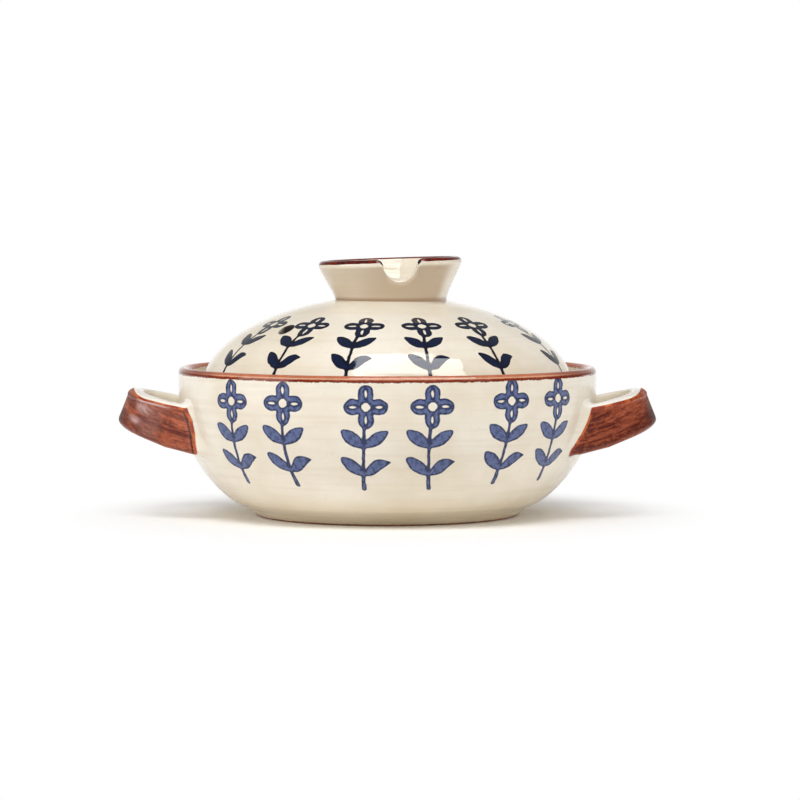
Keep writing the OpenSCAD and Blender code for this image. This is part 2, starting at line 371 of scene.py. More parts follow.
ledge_top = Vector((ledge_r, ledge_z))
ledge_under = Vector((ledge_r, ledge_z - ledge_t))
inner_wall = [p for p in thickened(belly, wall_t) if floor_bend_z < p.y < ledge_bend_z]
dive = (inner_wall[0] - inner_wall[1]).normalized()
floor_corner = inner_wall[0] - dive * ((inner_wall[0].y - floor_z) / dive.y)
floor_edge = floor_corner - Vector(((floor_corner - inner_wall[0]).length, 0))
# Points set close beside a corner keep it crisp in the smooth shading
pot_outline = (
    [Vector((0, foot_h)), foot_top - Vector((1, 0)), foot_top - Vector((0.06, 0))]
    + [foot_top, foot_top.lerp(shoulder, 0.01)]
    + rounded(foot_top, shoulder, belly[4], 1.6)
    + belly[3:]
    + rim_lip
    + rounded(rim_lip[-1], Vector((rim_r - rim_t, ledge_z)), ledge_top, 1.0)
    + rounded(Vector((rim_r, ledge_z)), ledge_top, ledge_under, 1.0)
    + rounded(ledge_top, ledge_under, inner_wall[-1], 1.0)
    + inner_wall[::-1]
    + curve(inner_wall[0], floor_corner, floor_edge, steps=8)
    + [Vector((0, floor_z))]
)

cream_pale = paint(243, 236, 223)
cream_warm = paint(231, 221, 201)
brush_dark = paint(26, 39, 84)
brush_wash = paint(88, 103, 150)


def place_on_piece(tone):
    """Where a point of the surface lies, in millimetres: its x, y and z."""
    spot = tone.node("TexCoord", out="Object")
    spot = tone.node("VectorMath", {"operation": "SCALE"}, {0: spot, "Scale": 1 / mm})
    x = tone.node("SeparateXYZ", {}, {"Vector": spot}, out="X")
    return spot, x, x.beside("Y"), x.beside("Z")


def degrees_round(x, y):
    """The turn round the axis, in degrees from the front, to the right."""
    return x.math("ARCTAN2", x, -y) * math.degrees(1)


def facing_out(tone, x, y, z=0.0):
    """Above 0 where the surface faces away from the axis, or from the point that x, y and z start at."""
    way = tone.node("CombineXYZ", {}, {"X": x, "Y": y, "Z": z})
    normal = tone.node("TexCoord", out="Normal")
    return tone.node("VectorMath", {"operation": "DOT_PRODUCT"}, {0: normal, 1: way}, out="Value")


def clouds(tone, spot, size, detail=3.0, out=0):
    """Soft clouds of about that size in millimetres, around 0.5."""
    feeds = {"Vector": spot, "Scale": 1.0 / size, "Detail": detail, "Roughness": 0.55}
    return tone.node("TexNoise", {}, feeds, out)


def cream_glaze(tone, spot, z):
    """The cream glaze: its colour, its gloss and the height of its throwing rings and ripples."""
    cloud = clouds(tone, spot, 38.0).ease(0.30, 0.72)
    colour = cloud.blend(cream_pale, cream_warm)
    grain = clouds(tone, spot, 2.2, 5.0)
    colour = (grain.ease(0.55, 0.80) * 0.35).blend(colour, paint(222, 208, 182))
    # Warmer and darker towards the bottom: partly glaze lying thicker there, partly painted shade of the
    # low belly
    colour = (z.ease(19.0, 2.0) * 0.6).blend(colour, paint(232, 212, 172))
    drift = clouds(tone, spot, 26.0, 1.0) * 9.0
    rings = tone.math("SINE", z * 1.15 + drift)
    level = tone.node("VectorMath", {"operation": "MULTIPLY"}, {0: spot, 1: (0.012, 0.012, 0.34)})
    bands = tone.node("TexNoise", {}, {"Vector": level, "Scale": 1.0, "Detail": 3.0})
    colour = (bands.ease(0.48, 0.70) * 0.30).blend(colour, paint(222, 208, 184))
    swell = rings * 0.025 + bands * 0.16 + clouds(tone, spot, 16.0, 2.0) * 0.16
    swell = swell + clouds(tone, spot, 1.6, 2.0) * 0.006
    return colour, grain * 0.04 + 0.025, swell


def slips(tone, spot):
    """How far the brush slips to the right and up, in millimetres."""
    slip = clouds(tone, spot, 4.5, 2.0, out="Color")
    slip = tone.node("SeparateXYZ", {}, {"Vector": slip}, out="X")
    return (slip - 0.5) * 1.1, (slip.beside("Y") - 0.5) * 1.1


def leaf(right, up, root, lean, length, width, blunt, curl=0.0, hook=0.0):
    """Distance to a leaf-shaped brush stroke that grows from its root, below 0 inside it."""
    over = right - root[0]
    above = up - root[1]
    c = math.cos(math.radians(lean))
    s = math.sin(math.radians(lean))
    along = over * c + above * s - length / 2
    across = above * c - over * s
    if curl:
        place = along * (2 / length)
        across = across + (place * place - 1) * curl - (place - place * place * place) * hook
    long = length / 2 - blunt
    wide = width / 2 - blunt
    bow = (long * long + wide * wide) / (2 * wide)
    flank = right.length(along, abs(across) + (bow - wide)) - bow
    tip = right.length(abs(along) - long, across)
    past_tip = right.math("GREATER_THAN", (abs(along) - long) * (bow - wide), abs(across) * long)
    return past_tip * (tip - flank) + flank - blunt


# The sprig's sizes in millimetres, with half the length and half the width of a petal
petal_out = 6.2
petal_long = 4.8
petal_wide = 4.0
petal_disc_r = 5.3
slit_out = 6.4
heart_half = 2.05
heart_r = 2.2
stem_half = 0.86
stem_end_r = 1.2


def sprig(right, up, axis, first_node, second_node, foot, slit, full=1.0):
    """Distance to the brushed sprig, below 0 inside the paint, from the middle of its flower."""
    from_middle = right.length(right, up)
    out = abs(right).most(abs(up))
    aside = abs(right).least(abs(up))
    petals = (right.length((out - petal_out) / petal_long, aside / petal_wide) - 1.0) * 4.2
    flower = petals.melt(from_middle - petal_disc_r, 1.4)
    cut = (right.length((out - slit_out) / slit[0], aside / slit[1]) - 1.0) * slit[1]
    heart = ((abs(right) + abs(up)) * 0.707 - heart_half).most(from_middle - heart_r)
    beside = right - axis
    stout = up.ease(2.0 - second_node, -foot) * 0.35 + stem_half
    stem = (abs(beside) - stout).most(up + 8.0, -foot - up)
    stem = stem.least(right.length(beside, up + foot) - stem_end_r)
    node_one = (0.0, -first_node - 0.6)
    node_two = (0.0, -second_node - 0.6)
    left_leaves = leaf(beside, up, node_one, 142, 14.4 * full, 6.7 * full, 1.3 * full).least(
        leaf(beside, up, node_two, 138, 14.7 * full, 6.5 * full, 1.3 * full),
    )
    right_leaves = leaf(beside, up, node_one, 36, 14.3 * full, 6.5 * full, 1.0 * full).least(
        leaf(beside, up, node_two, 28, 15.0 * full, 6.5 * full, 0.5, curl=1.3, hook=1.6),
    )
    plant = flower.melt(stem, 1.6).melt(left_leaves, 1.8).melt(right_leaves, 1.8)
    return plant.most(-cut, -heart)


def brush_on(tone, colour, distance, right, up, dark, wash):
    """The glaze's colour with the paint on it: a washed fill, streaks and a dark edge."""
    brush = tone.node("CombineXYZ", {}, {"X": right * 0.9, "Y": up * 0.32})
    streaks = tone.node("TexNoise", {}, {"Vector": brush, "Scale": 1.0, "Detail": 4.0})
    pools = tone.node("CombineXYZ", {}, {"X": right * 0.42, "Y": up * 0.36})
    feeds = {"Vector": pools, "Scale": 1.0, "Detail": 5.0, "Roughness": 0.68}
    pools = tone.node("TexNoise", {}, feeds)
    edge = (distance + (pools - 0.5) * 1.8).ease(-1.25, -0.45)
    depth = (edge * 0.90 + pools.ease(0.44, 0.60) * 0.55 + streaks.ease(0.52, 0.70) * 0.3).least(1.0)
    ink = depth.blend(wash, dark)
    return distance.ease(0.16, -0.20).blend(colour, ink)


def finish_glaze(tone, colour, rough, swell, gloss=1.5):
    """Ties the colour, gloss and ripples of a finish to its shader."""
    ripple = tone.node("Bump", {}, {"Strength": 1.0, "Distance": mm, "Height": swell})
    glaze = tone.node(
        "BsdfPrincipled", {},
        {"Base Color": colour, "Roughness": rough, "Normal": ripple, "IOR": gloss},
    )
    tone.node("OutputMaterial", {}, {"Surface": glaze})


def iron_glaze(tone, spot, turn):
    """The brown iron glaze of the lips, mottled along the way that the sponge went."""
    flow = tone.node("CombineXYZ", {}, {"X": turn * 0.55})
    flow = tone.node("VectorMath", {"operation": "ADD"}, {0: flow, 1: spot})
    patches = clouds(tone, flow, 7.0, 4.0)
    brown = patches.ease(0.36, 0.66).blend(paint(144, 58, 26), paint(184, 92, 56))
    return (clouds(tone, flow, 2.4, 3.0).ease(0.56, 0.76) * 0.7).blend(brown, paint(118, 36, 12))


bowl_finish, bowl_tone = new_finish("cream_bowl")
spot, x, y, z = place_on_piece(bowl_tone)
turn = degrees_round(x, y)
around = bowl_tone.length(x, y)
colour, rough, swell = cream_glaze(bowl_tone, spot, z)

# The sprigs stand in pairs. In degrees: the middle of the front pair, from pair to pair, and
# from a pair's middle to its sprigs. The flowers drop a little from pair to pair.
front_pair = 3.3
next_pair = 40.2
half_pair = 8.7
flower_z = 61.6
slip_right, slip_up = slips(bowl_tone, spot)
half_turn = bowl_tone.math("WRAP", turn, 90.0, -90.0)
pair = bowl_tone.math("ROUND", (half_turn - front_pair) / next_pair)
in_pair = half_turn - front_pair - pair * next_pair
hand = bowl_tone.math("SIGN", in_pair)
right = (in_pair - hand * half_pair) * around * math.radians(1) + slip_right
drop = flower_z + pair * pair * 1.55 + pair * 0.45 - z
up = -(drop + drop * abs(drop) * 0.0018) + slip_up
axis = up * (hand * 0.015 + 0.097) + up * up * (hand * 0.0012 + 0.0019)
distance = sprig(right, up, axis, first_node=19.9, second_node=35.1, foot=43.6, slit=(1.65, 0.58))
distance = distance.most(4.0 - facing_out(bowl_tone, x, y), abs(pair) * 40.0 - 60.0)
colour = brush_on(bowl_tone, colour, distance, right, up, brush_dark, brush_wash)

# The rim: a brown band which runs down a little inside, with a pale line and a paler crown that are
# painted highlights, and its ends and back painted darker as shade
from_rim = z - pot_h
wave = (clouds(bowl_tone, spot, 9.0, 3.0) - 0.5) * 1.2
wave = wave + (clouds(bowl_tone, spot, 1.3, 1.0) - 0.5) * 0.9
inward = (around - (rim_r - rim_t / 2)).ease(0.5, -0.5)
outward = 1 - inward
in_band = from_rim + 3.2 - inward * 1.1 + wave * (inward + 1)
iron = iron_glaze(bowl_tone, spot, turn)
# The paler crown and the pale line along the band are painted highlights
iron = (from_rim.ease(-1.5, -0.6) * 0.5).blend(iron, paint(214, 136, 102))
painted_highlight_line = (from_rim + wave * 0.3).ease(-2.0, -1.55) * from_rim.ease(-0.9, -1.3)
iron = (painted_highlight_line * outward * 0.65).blend(iron, paint(236, 188, 156))
iron = (inward * z.ease(pot_h - 0.6, pot_h - 2.2) * 0.6).blend(iron, paint(206, 150, 128))
# Darker towards the ends and the back of the rim: painted shade
iron = (abs(turn).ease(46.0, 62.0) * outward * 0.65).blend(iron, paint(104, 30, 18))
iron = (in_band.ease(1.5, 0.7) * outward * 0.9).blend(iron, paint(112, 30, 6))
band = in_band.ease(-0.25, 0.25) * around.ease(95.0, 99.0)
colour = band.blend(colour, iron)
finish_glaze(bowl_tone, colour, rough, swell)
points, faces = throw(evened(pot_outline, 2.5))
make_piece("glazed_bowl", points, faces, [bowl_finish], "pot", "cream_glaze", "pot_bowl")


# Foot
# The ring that the bowl stands on, turned from the same clay. The glaze runs down its side
# and is wiped off the standing face, where the fired clay shows.
foot_low_out = Vector((66.5, 0))
foot_low_in = Vector((58.5, 0))
foot_top_in = Vector((57.5, foot_h))
foot_outline = (
    [foot_top_in]
    + rounded(foot_top_in, foot_low_in, foot_low_out, 1.0)
    + rounded(foot_low_in, foot_low_out, foot_top, 1.0)
    + [foot_top]
)
foot_finish, foot_tone = new_finish("wiped_foot")
spot, x, y, z = place_on_piece(foot_tone)
around = foot_tone.length(x, y)
colour, rough, swell = cream_glaze(foot_tone, spot, z)
clay = clouds(foot_tone, spot, 3.0, 6.0).ease(0.35, 0.7).blend(paint(150, 84, 44), paint(196, 124, 74))
wiped = (z + (clouds(foot_tone, spot, 6.0, 2.0) - 0.5) * 0.5).ease(0.95, 0.70)
wiped = wiped.most(around.ease(62.0, 60.0))
# The clay is darker towards the standing face
darker_below = (z + (clouds(foot_tone, spot, 5.0, 2.0) - 0.5) * 0.5).ease(0.55, 1.0)
clay = (darker_below * 0.8).blend(clay, paint(112, 44, 16))
colour = wiped.blend(colour, clay)
swell = swell + clouds(foot_tone, spot, 0.8, 4.0) * 0.08
finish_glaze(foot_tone, colour, wiped * 0.55 + rough, swell)
points, faces = throw(evened(foot_outline, 1.5))
make_piece("wiped_foot_ring", points, faces, [foot_finish], "pot", "bare_clay", "foot_ring")


# Handles
# Two ear straps, pulled from a roll of clay, bent and luted to the wall while soft. The outer
# face is brushed lengthwise with iron glaze, and the top edge and the back stay cream.
handle_reach = 31.0
strap_t = 8.0
root_h = 24.4
tip_h = 17.8
root_top_z = 58.2
tip_top_z = 65.2
root_lean = math.radians(6)
tip_lean = math.radians(20)
edge_r = 3.2
high_r = 2.2
root_fillet = 3.5
border = 1.2
panel_dip = 0.8
dip_fade = 0.6
# Where half a strap leaves the wall, how deep it is sunk there, its way out and how it bends
root_y = 38.0
root_sunk = 1.0
root_turn = math.radians(22)
root_pull = 0.4
tip_pull = 0.62
root = Vector((math.sqrt(pot_r ** 2 - root_y ** 2), root_y))
root_way = Vector((math.cos(root_turn), -math.sin(root_turn)))
root_side = Vector((-root_way.y, root_way.x))
tip_x = (
    pot_r + handle_reach - strap_t / 2 + edge_r
    - math.tan(tip_lean) * (tip_h / 2 - edge_r) - edge_r / math.cos(tip_lean)
)
half_way = (Vector((tip_x, 0)) - root).length
bend_steps = 44


def mix(a, b, t):
    """The value at a share of the way from one to the other."""
    return a + (b - a) * t


def reach_at(way, height):
    """Radius at a height of an outline that rises all the way, or of its nearer end beyond it."""
    for low, high in zip(way, way[1:]):
        if low.y <= height <= high.y:
            return mix(low.x, high.x, (height - low.y) / (high.y - low.y))
    return way[-1].x if height > way[-1].y else way[0].x


def wall_radius(height):
    """Outer radius of the pot at a height."""
    return reach_at([foot_top] + belly, height)


def climb(t):
    """Share of the strap's climb at a share of its way, level again at the tip."""
    levels_from = 0.84
    late = max(0, t - levels_from)
    return (max(0, t) - late * late / (2 - 2 * levels_from)) * 2 / (1 + levels_from)


def soften(share):
    """A share from 0 to 1 with soft ends."""
    share = min(1.0, max(0.0, share))
    return share * share * (3 - 2 * share)


def strap_section(h):
    """Points round the strap: place out and up, direction of growth, and sink of the panel."""
    half = strap_t / 2
    low = edge_r + border
    high = h - high_r - border

    def quarter(out, up, radius, start):
        """A quarter round about a place, anticlockwise from an angle."""
        turns = [math.radians(start + 90 * k / 6) for k in range(7)]
        ways = [(math.cos(a), math.sin(a)) for a in turns]
        return [((out + radius * way[0], up + radius * way[1]), way, 0.0) for way in ways]

    # The panel dips more and more up to its upper border, over which it comes out again
    face = [((half, edge_r + border * k / 4), (1, 0), 0.0) for k in range(5)]
    for k in range(1, 9):
        up = mix(low, high, k / 9)
        face.append(((half, up), (1, 0), panel_dip * ((up - low) / (high - low)) ** 0.8))
    for k in range(5):
        share = 1 - k / 4
        face.append(((half, h - high_r - border * share), (1, 0), panel_dip * soften(share)))
    back = [((-half, mix(h - edge_r, edge_r, k / 6)), (-1, 0), 0.0) for k in range(1, 6)]
    return (
        face
        + quarter(half - high_r, h - high_r, high_r, 0)[1:]
        + quarter(edge_r - half, h - edge_r, edge_r, 90)
        + back
        + quarter(edge_r - half, edge_r, edge_r, 180)
        + quarter(half - edge_r, edge_r, edge_r, 270)[:-1]
    )


strands = len(strap_section(root_h))


def strand(j, t, sink):
    """One point of the section at a share of the way: out from the middle line, and z."""
    rise = climb(t)
    h = mix(root_h, tip_h, rise)
    (out, up), _, depth = strap_section(h)[j]
    out -= sink * depth * (1 - dip_fade * rise)
    lean = math.tan(mix(root_lean, tip_lean, rise))
    return out + lean * (h / 2 - up), mix(root_top_z, tip_top_z, rise) - h + up


def wall_way(j, gap, sink):
    """How far along the straight root that strand lies at the gap from the wall, in five rounds."""
    way = 0.0
    for _ in range(5):
        out, height = strand(j, way / half_way, sink)
        base = root + root_side * out
        along = base.dot(root_way)
        way = math.sqrt(along * along - base.dot(base) + (wall_radius(height) + gap) ** 2) - along
    return way


def root_ring(gap, widen, sink):
    """Ring of the strap that follows the wall at the gap, widened for the fillet."""
    ring = []
    for j in range(strands):
        way = wall_way(j, gap, sink)
        out, height = strand(j, way / half_way, sink)
        flat = root + root_way * way + root_side * out
        place = Vector((flat.x, flat.y, height))
        grow = strap_section(root_h)[j][1]
        steep = (wall_radius(height + 1) - wall_radius(height - 1)) / 2
        off_wall = Vector((flat.x, flat.y, -steep * flat.length)).normalized()
        spread = Vector((root_side.x * grow[0], root_side.y * grow[0], grow[1]))
        spread = (spread - off_wall * spread.dot(off_wall)).normalized()
        ring.append((place + spread * widen, way / half_way, j))
    return ring


def strap_rings(panel_gap):
    """Rings of half a strap. Its panel starts to sink at that gap from the wall."""
    rings = [root_ring(-root_sunk, root_fillet, 0)]
    for k in range(13):
        a = math.pi / 2 * k / 12
        gap = root_fillet * (1 - math.cos(a))
        sink = soften((gap - panel_gap) / border)
        rings.append(root_ring(gap, root_fillet * (1 - math.sin(a)), sink))
    for k in range(1, 6):
        gap = root_fillet + border * k / 5
        rings.append(root_ring(gap, 0, soften((gap - panel_gap) / border)))
    sweep_way = border + max(wall_way(j, root_fillet + border, 1) for j in range(strands))
    sweep_start = root + root_way * sweep_way
    pulls = [
        sweep_start,
        sweep_start + root_way * ((tip_x - sweep_start.x) * root_pull),
        Vector((tip_x, sweep_start.y * tip_pull)),
        Vector((tip_x, 0)),
    ]
    slopes = curve(*[b - a for a, b in zip(pulls, pulls[1:])], steps=bend_steps)
    for k, centre in enumerate(curve(*pulls, steps=bend_steps)):
        t = mix(sweep_way / half_way, 1, k / bend_steps)
        slope = slopes[k].normalized()
        across = Vector((-slope.y, slope.x))
        ring = []
        for j in range(strands):
            out, height = strand(j, t, 1)
            flat = centre + across * out
            ring.append((Vector((flat.x, flat.y, height)), t, j))
        rings.append(ring)
    return rings


def strap_mesh(sign, panel_gap):
    """Points, faces and places of a whole strap, the places in the order of strap_places."""
    half_strap = strap_rings(panel_gap)
    far_half = [
        [(Vector((p.x, -p.y, p.z)), 2 - t, j) for p, t, j in ring] for ring in half_strap[-2::-1]
    ]
    rings = half_strap + far_half
    points = []
    places = []
    for ring in rings:
        for p, t, j in ring:
            h = mix(root_h, tip_h, climb(min(t, 2 - t)))
            (out, up), _, _ = strap_section(h)[j]
            points.append((p.x * sign, p.y, p.z))
            gap = math.hypot(p.x, p.y) - wall_radius(p.z)
            places.append((t * half_way, up, out, h - up, gap))
    faces = []
    for i in range(len(rings) - 1):
        for j in range(strands):
            a = i * strands + j
            b = i * strands + (j + 1) % strands
            quad = [a, b, b + strands, a + strands]
            faces.append(quad if sign < 0 else quad[::-1])
    return points, faces, places


def note_places(piece, names, places):
    """Keeps each point's places on the mesh under their names, for the painting of its glaze."""
    for column, name in enumerate(names):
        layer = piece.data.attributes.new(name, "FLOAT", "POINT")
        layer.data.foreach_set("value", [row[column] for row in places])


def noted(tone, name):
    """A place that is kept on the mesh."""
    return tone.node("Attribute", {"attribute_name": name}, out="Fac")


# Places on a strap: along it, up from its lower edge, out, down from its top, and off the wall
strap_places = ("strap_run", "strap_up", "strap_out", "strap_top", "strap_gap")
handle_finish, handle_tone = new_finish("brushed_handle")
spot, x, y, z = place_on_piece(handle_tone)
colour, rough, swell = cream_glaze(handle_tone, spot, z)
run, low, out, top, gap = [noted(handle_tone, name) for name in strap_places]
at_left = x.ease(1.0, -1.0)
at_right = 1 - at_left


def strokes(along, upward, detail, harshness):
    """Brush strokes along the strap, of that many to the millimetre in each direction."""
    way = handle_tone.node("CombineXYZ", {}, {"X": run * along, "Y": low * upward, "Z": at_left * 9.0})
    feeds = {"Vector": way, "Scale": 1.0, "Detail": detail, "Roughness": harshness}
    return handle_tone.node("TexNoise", {}, feeds)


broad = strokes(0.022, 0.21, 2.0, 0.45)
streaks = strokes(0.075, 0.62, 6.0, 0.62)
fine = strokes(0.40, 1.7, 4.0, 0.6)
specks = strokes(0.30, 0.75, 5.0, 0.7)
far_along = abs(run - half_way)
to_tip = far_along.ease(16.0, 2.0)
brown = streaks.ease(0.34, 0.66).blend(paint(112, 44, 26), paint(170, 84, 54))
brown = (broad.ease(0.50, 0.60) * 0.7).blend(brown, paint(186, 98, 68))
brown = (broad.ease(0.50, 0.42) * 0.8).blend(brown, paint(80, 26, 22))
brown = (fine.ease(0.50, 0.70) * 0.45).blend(brown, paint(196, 108, 70))
brown = (streaks.ease(0.47, 0.40) * 0.75).blend(brown, paint(72, 22, 22))
# Darker towards the lower edge. The right handle is painted darker as shade, and the left one lighter as
# painted light from the left
brown = (low.ease(16.0, 6.0) * 0.2 + at_right * 0.30).blend(brown, paint(92, 32, 16))
brown = (at_left * 0.16).blend(brown, paint(206, 126, 98))
brown = (specks.ease(0.50, 0.64) * 0.28).blend(brown, paint(206, 118, 78))
brown = (specks.ease(0.50, 0.38) * 0.45).blend(brown, paint(80, 24, 20))

# A dark stroke on the left handle with two painted highlights and a thin painted highlight line, and dark
# tips on both, which are painted shade
dark_stroke = abs(low - 9.9 + (streaks - 0.5) * 5.0).ease(2.2, 0.5)
dark_stroke = dark_stroke * run.ease(66.0, 73.0) * run.ease(108.0, 98.0)
brown = (dark_stroke * at_left * 0.75).blend(brown, paint(76, 18, 22))
# Two pale spots and a pale line along the upper border on the left handle: painted highlights
painted_highlights = handle_tone.length((run - 71.5) / 6.4, (low - 14.6) / 3.6).ease(1.2, 0.0)
painted_highlights = painted_highlights.most(handle_tone.length((run - 68.0) / 5.8, (low - 7.6) / 2.7).ease(1.2, 0.0))
painted_highlights = painted_highlights * (0.85 - specks.ease(0.6, 0.4) * 0.4)
painted_highlights = painted_highlights.most(abs(top - 2.6).ease(0.7, 0.3) * run.ease(64.0, 71.0) * run.ease(93.0, 84.0))
brown = (painted_highlights * at_left).blend(brown, paint(208, 172, 168))
# The tips painted dark, most at their lower part: painted shade
brown = (to_tip * (0.25 + low.ease(12.0, 4.0) * 0.65)).blend(brown, paint(44, 8, 6))

# How far the brown glaze reaches: to the top edge, round the lower one, and towards the wall
wobble = clouds(handle_tone, spot, 5.0, 2.0) - 0.5
from_corner = top - strap_t / 2 + out
glaze_end = 0.8 - far_along.ease(24.0, 3.0) * 3.3
root_gap = 3.6 - at_left * 2.1 + top * (at_left * 0.16 - 0.10)
root_gap = root_gap + top.ease(13.0, 25.0) * at_left * 1.1
root_gap = root_gap - top.ease(1.0, 8.0) * top.ease(25.0, 11.0) * at_left
below_end = from_corner - glaze_end + wobble * 0.8
past_root = gap - root_gap + wobble * 0.6
thin_glaze_and_grip_shade = below_end.ease(1.6, 0.9).most((low + wobble * 2.0).ease(1.8, 0.4) * 0.4)
thin_glaze_and_grip_shade = thin_glaze_and_grip_shade.most(past_root.ease(1.1, 0.6), below_end.ease(4.5, 1.0) * at_right * 0.6)
edge_tone = clouds(handle_tone, spot, 6.0, 3.0).ease(0.43, 0.57)
brown = (thin_glaze_and_grip_shade * 0.9).blend(brown, edge_tone.blend(paint(150, 48, 14), paint(206, 104, 44)))
# A dark line along the left handle's border by the wall: painted shade in the crease
crease_shade = gap - root_gap - 1.45
crease_shade = crease_shade.ease(-0.45, 0.0) * crease_shade.ease(0.8, 0.25) * out.ease(2.0, 3.0) * top.ease(1.8, 4.5) * at_left
brown = (crease_shade * 0.85).blend(brown, paint(58, 14, 8))
coat = (from_corner - glaze_end + wobble * 0.5).ease(-0.2, 0.2) * (out + wobble * 1.2).ease(-2.2, -1.4)
coat = coat * past_root.ease(-0.35, 0.1)
# The top edge painted whiter: a painted highlight
colour = (top.ease(1.6, 0.3) * 0.7).blend(colour, paint(252, 249, 243))
colour = coat.blend(colour, brown)
swell = swell + (streaks * 0.25 + fine * 0.10) * coat
finish_glaze(handle_tone, colour, rough + coat * (0.17 + to_tip * 0.25), swell, gloss=1.38)

for name, sign, panel_from, node in (
    ("brushed_right_handle", 1, 3.5, "right_handle"),
    ("brushed_left_handle", -1, 1.5, "left_handle"),
):
    points, faces, places = strap_mesh(sign, panel_from)
    handle = make_piece(name, points, faces, [handle_finish], "pot", "brown_glaze", node)
    note_places(handle, strap_places, places)


# Lid dome
# A thrown dome that drops into the bowl's ledge, glazed cream inside and out, with a steam
# hole pierced beside the front and a ring of darker sprigs round its side.
lid_r = 96.5
lid_z = 62.8
lid_rise = 50.0
inner_r = 90.5
inner_rise = 44.0
lid_edge = 1.5
vent_turn = math.radians(-46)
vent_out = 70.0
vent_r = 3.5
vent_x = vent_out * math.sin(vent_turn)
vent_y = -vent_out * math.cos(vent_turn)
vent_from = 62
vent_to = 78
columns = 192
vent_columns = 4


def outer_height(r):
    """Height of the dome's outer face at a radius."""
    return lid_z + lid_rise * math.sqrt(max(0, 1 - (r / lid_r) ** 2))


def inner_height(r):
    """Height of the dome's inner face at a radius."""
    return lid_z + inner_rise * math.sqrt(max(0, 1 - (r / inner_r) ** 2))


def steep_rows(radius, rise, count):
    """Radii of the rings from the steam hole down to the edge, closer where the dome is steep."""
    first = math.acos(vent_to / radius)
    last = math.asin(lid_edge / rise)
    return [radius * math.cos(mix(first, last, k / count)) for k in range(1, count + 1)]


crown_rows = [vent_from * k / 18 for k in range(18)]
vent_rows = [vent_from + (vent_to - vent_from) * k / 6 for k in range(7)]
high_rows = crown_rows + vent_rows
outer_way = [Vector((r, outer_height(r))) for r in high_rows + steep_rows(lid_r, lid_rise, 18)]
inner_way = [Vector((r, inner_height(r))) for r in high_rows + steep_rows(inner_r, inner_rise, 16)]
edge_way = (
    curve(outer_way[-1], Vector((lid_r, lid_z)), Vector((lid_r - lid_edge, lid_z)), steps=6)[1:]
    + curve(Vector((inner_r + lid_edge, lid_z)), Vector((inner_r, lid_z)), inner_way[-1], steps=6)[:-1]
)
dome_points = []
dome_faces = []


def dome_point(px, py, pz):
    """Adds a point to the dome and gives its number."""
    dome_points.append((px, py, pz))
    return len(dome_points) - 1


def dome_ring(point):
    """The points of one ring of the dome, with one column on the steam hole's line."""
    if point.x < on_axis:
        return [dome_point(0, 0, point.y)] * columns
    ring = []
    for k in range(columns):
        a = vent_turn + 2 * math.pi * k / columns
        ring.append(dome_point(point.x * math.sin(a), -point.x * math.cos(a), point.y))
    return ring


def join_rings(one, two, flip, left_open=()):
    """Faces from one ring to the next, apart from the columns that are left open."""
    for k in range(len(one)):
        if k not in left_open:
            n = (k + 1) % len(one)
            corners = without_repeats([one[k], two[k], two[n], one[n]])
            dome_faces.append(corners[::-1] if flip else corners)


def dome_skin(rings, flip, pierced):
    """Faces between rings, left open round the steam hole."""
    first = len(crown_rows)
    vent_rings = range(first, first + len(vent_rows) - 1) if pierced else ()
    beside_vent = [*range(vent_columns), *range(columns - vent_columns, columns)]
    for i, (one, two) in enumerate(zip(rings, rings[1:])):
        join_rings(one, two, flip, beside_vent if i in vent_rings else ())


def vent_collar(rings, height, soft, down, flip):
    """Rings from the opening in the skin to the hole's wall, over a softened edge."""
    first = len(crown_rows)
    last = first + len(vent_rows) - 1
    span = range(-vent_columns, vent_columns + 1)
    loop = [rings[first][k] for k in span]
    loop += [rings[i][vent_columns] for i in range(first + 1, last + 1)]
    loop += [rings[last][k] for k in list(span)[::-1][1:]]
    loop += [rings[i][-vent_columns] for i in range(last - 1, first, -1)]
    starts = [Vector(dome_points[c][:2]) for c in loop]
    centre = Vector((vent_x, vent_y))
    ways = [(p - centre).normalized() for p in starts]
    rounds = [loop]
    for k in range(1, 6):
        ring = []
        for p, way in zip(starts, ways):
            q = p.lerp(centre + way * (vent_r + soft), k / 5)
            ring.append(dome_point(q.x, q.y, height(q.length)))
        rounds.append(ring)
    for k in range(1, 6):
        a = math.pi / 2 * k / 5
        ring = []
        for way in ways:
            q = centre + way * (vent_r + soft * (1 - math.sin(a)))
            ring.append(dome_point(q.x, q.y, height(q.length) - down * soft * (1 - math.cos(a))))
        rounds.append(ring)
    for one, two in zip(rounds, rounds[1:]):
        join_rings(one, two, flip)
    return rounds[-1]


outer_rings = [dome_ring(p) for p in outer_way]
inner_rings = [dome_ring(p) for p in inner_way]
dome_skin(outer_rings, flip=False, pierced=True)
dome_skin(inner_rings, flip=True, pierced=True)
edge_rings = [outer_rings[-1]] + [dome_ring(p) for p in evened(edge_way, 2.0)] + [inner_rings[-1]]
dome_skin(edge_rings, flip=False, pierced=False)
mouth = vent_collar(outer_rings, outer_height, soft=0.9, down=1, flip=False)
throat = vent_collar(inner_rings, inner_height, soft=0.5, down=-1, flip=True)
wall_rings = [mouth]
for share in (0.25, 0.5, 0.75):
    wall_rings.append([
        dome_point(*[mix(a, b, share) for a, b in zip(dome_points[m], dome_points[n])])
        for m, n in zip(mouth, throat)
    ])
wall_rings.append(throat)
for one, two in zip(wall_rings, wall_rings[1:]):
    join_rings(one, two, flip=False)

lid_dark = paint(4, 9, 32)
lid_wash = paint(8, 27, 62)
dome_finish, dome_tone = new_finish("cream_dome")
spot, x, y, z = place_on_piece(dome_tone)
turn = degrees_round(x, y)
around = dome_tone.length(x, y)
colour, rough, swell = cream_glaze(dome_tone, spot, z)

